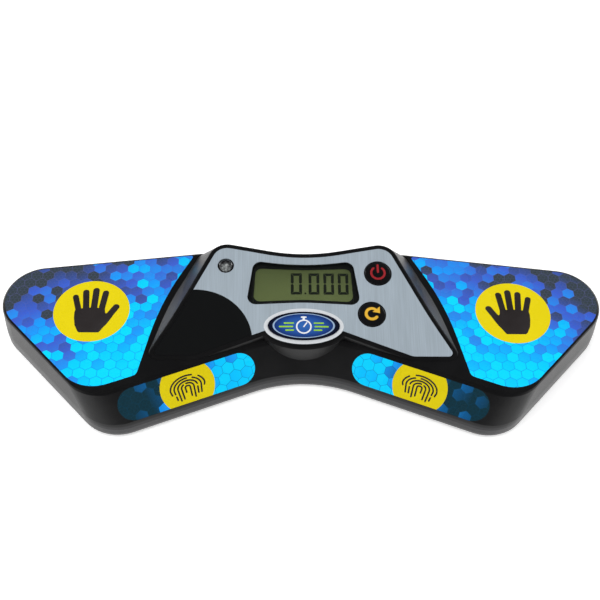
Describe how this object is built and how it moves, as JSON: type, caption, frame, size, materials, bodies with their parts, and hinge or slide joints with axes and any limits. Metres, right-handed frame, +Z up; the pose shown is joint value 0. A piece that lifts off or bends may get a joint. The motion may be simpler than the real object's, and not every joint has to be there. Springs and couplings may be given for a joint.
{
  "type": "speed cube timer",
  "caption": "Wide two-winged touch timer with palm and finger pads, a tilted display hump, two round keys and a rear data socket.",
  "frame": {"origin": "middle of the outline, at the table under the feet", "axes": "+X to the right as the player sees it, -Y towards the player, +Z up"},
  "size_m": [0.287, 0.0916, 0.0338],
  "materials": {
    "housing_black": "moulded ABS, fine satin texture",
    "key_black": "moulded ABS with a printed symbol",
    "label_silver": "brushed silver film print",
    "badge_print": "glossy printed oval, plain",
    "clear_window": "clear moulded acrylic",
    "lcd_glass": "olive reflective display",
    "frame_black": "black holder",
    "strip_rubber": "layered conductive rubber",
    "board_green": "solder mask on glass-epoxy",
    "chip_black": "epoxy package",
    "tinned_metal": "drawn can",
    "led_epoxy": "diffused epoxy",
    "lens_grey": "smoked light pipe",
    "switch_body": "switch case and plunger",
    "jack_black": "moulded socket",
    "cell_wrap": null,
    "spring_steel": "nickel-plated spring steel",
    "pad_film": null,
    "copper_foil": "copper foil",
    "foot_rubber": "stuck-on rubber disc",
    "screw_steel": "black-zinc screw"
  },
  "bodies": {
    "housing": {"top_shell": "housing_black", "bottom_shell": "housing_black", "face_label": "label_silver", "badge_disc": "badge_print", "lcd_window": "clear_window", "lcd_glass": "lcd_glass", "lcd_frame": "frame_black", "zebra_strips": "strip_rubber", "main_board": "board_green", "timer_chip": "chip_black", "quartz_crystal": "tinned_metal", "status_led": "led_epoxy", "led_lens": "lens_grey", "power_switch": "switch_body", "reset_switch": "switch_body", "data_jack": "jack_black", "jack_board": "board_green", "battery_front": "cell_wrap", "battery_rear": "cell_wrap", "battery_springs": "spring_steel", "battery_contacts": "spring_steel", "palm_overlay_left": "pad_film", "palm_overlay_right": "pad_film", "finger_overlay_left": "pad_film", "finger_overlay_right": "pad_film", "palm_sensor_left": "copper_foil", "palm_sensor_right": "copper_foil", "finger_sensor_left": "copper_foil", "finger_sensor_right": "copper_foil", "rubber_feet": "foot_rubber", "housing_screws": "screw_steel", "board_screws": "screw_steel"},
    "power_key": {"power_button": "key_black"},
    "reset_key": {"reset_button": "key_black"},
    "door": {"battery_door": "housing_black"}
  },
  "joints": [
    {"name": "power_press", "type": "slide", "parent": "housing", "child": "power_key", "axis": [0, 0.1822, -0.9833], "range_m": [0, 0.0006], "stiffness_N_per_m": 2500},
    {"name": "reset_press", "type": "slide", "parent": "housing", "child": "reset_key", "axis": [0, 0.1822, -0.9833], "range_m": [0, 0.0006], "stiffness_N_per_m": 2500},
    {"name": "door_hinge", "type": "hinge", "parent": "housing", "child": "door", "pos_m": [0, -0.00555, 0.0015], "axis": [-1, 0, 0], "range_deg": [0, 60]}
  ]
}
